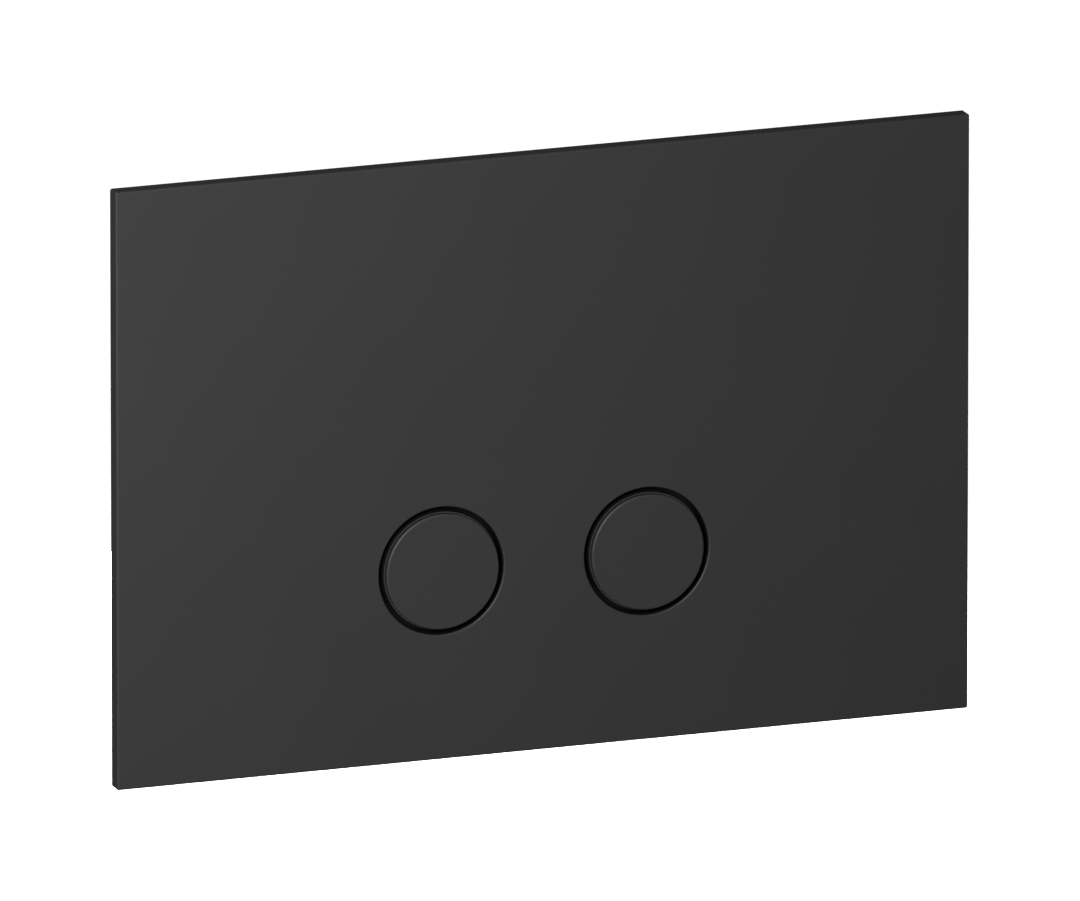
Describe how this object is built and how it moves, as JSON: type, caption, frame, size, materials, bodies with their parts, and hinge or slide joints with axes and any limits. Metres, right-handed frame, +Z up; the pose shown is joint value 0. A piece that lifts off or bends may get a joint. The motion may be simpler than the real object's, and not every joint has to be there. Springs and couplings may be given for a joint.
{
  "type": "flush button plate",
  "caption": "Slim rectangular wall plate with round push buttons for a concealed cistern, on a sprung button carrier and a clip-on mounting frame with rods to the rear.",
  "frame": {"origin": "middle of the plate on the wall's finished surface, where the mounting frame's flange rests", "axes": "+X to the right of someone facing the plate, +Y into the wall, +Z up"},
  "size_m": [0.22, 0.0844, 0.15],
  "materials": {
    "matt_black_abs": "fine matt moulded",
    "black_moulding": "plain moulded",
    "grey_moulding": "plain moulded",
    "pad_foam": "foam",
    "damper_rubber": "soft",
    "spring_steel": "drawn wire",
    "white_acetal": "plain moulded",
    "grey_nylon": "plain moulded",
    "zinc_plated_steel": "bright zinc plate"
  },
  "bodies": {
    "plate_assembly": {"front_plate": "matt_black_abs", "button_carrier": "black_moulding", "mounting_frame": "grey_moulding", "corner_pads": "pad_foam", "return_spring_left": "spring_steel", "fixing_rod_left": "zinc_plated_steel", "fixing_nut_left": "grey_nylon", "fixing_washer_left": "zinc_plated_steel", "return_spring_right": "spring_steel", "fixing_rod_right": "zinc_plated_steel", "fixing_nut_right": "grey_nylon", "fixing_washer_right": "zinc_plated_steel"},
    "left_button": {"button_left": "matt_black_abs", "damper_pads_left": "damper_rubber", "push_rod_left": "white_acetal", "lock_nut_left": "white_acetal"},
    "right_button": {"button_right": "matt_black_abs", "damper_pads_right": "damper_rubber", "push_rod_right": "white_acetal", "lock_nut_right": "white_acetal"}
  },
  "joints": [
    {"name": "left_button_press", "type": "slide", "parent": "plate_assembly", "child": "left_button", "axis": [0, 1, 0], "range_m": [0, 0.005], "stiffness_N_per_m": 800, "springref_m": -0.004, "deforming": ["return_spring_left"]},
    {"name": "right_button_press", "type": "slide", "parent": "plate_assembly", "child": "right_button", "axis": [0, 1, 0], "range_m": [0, 0.005], "stiffness_N_per_m": 800, "springref_m": -0.004, "deforming": ["return_spring_right"]}
  ]
}
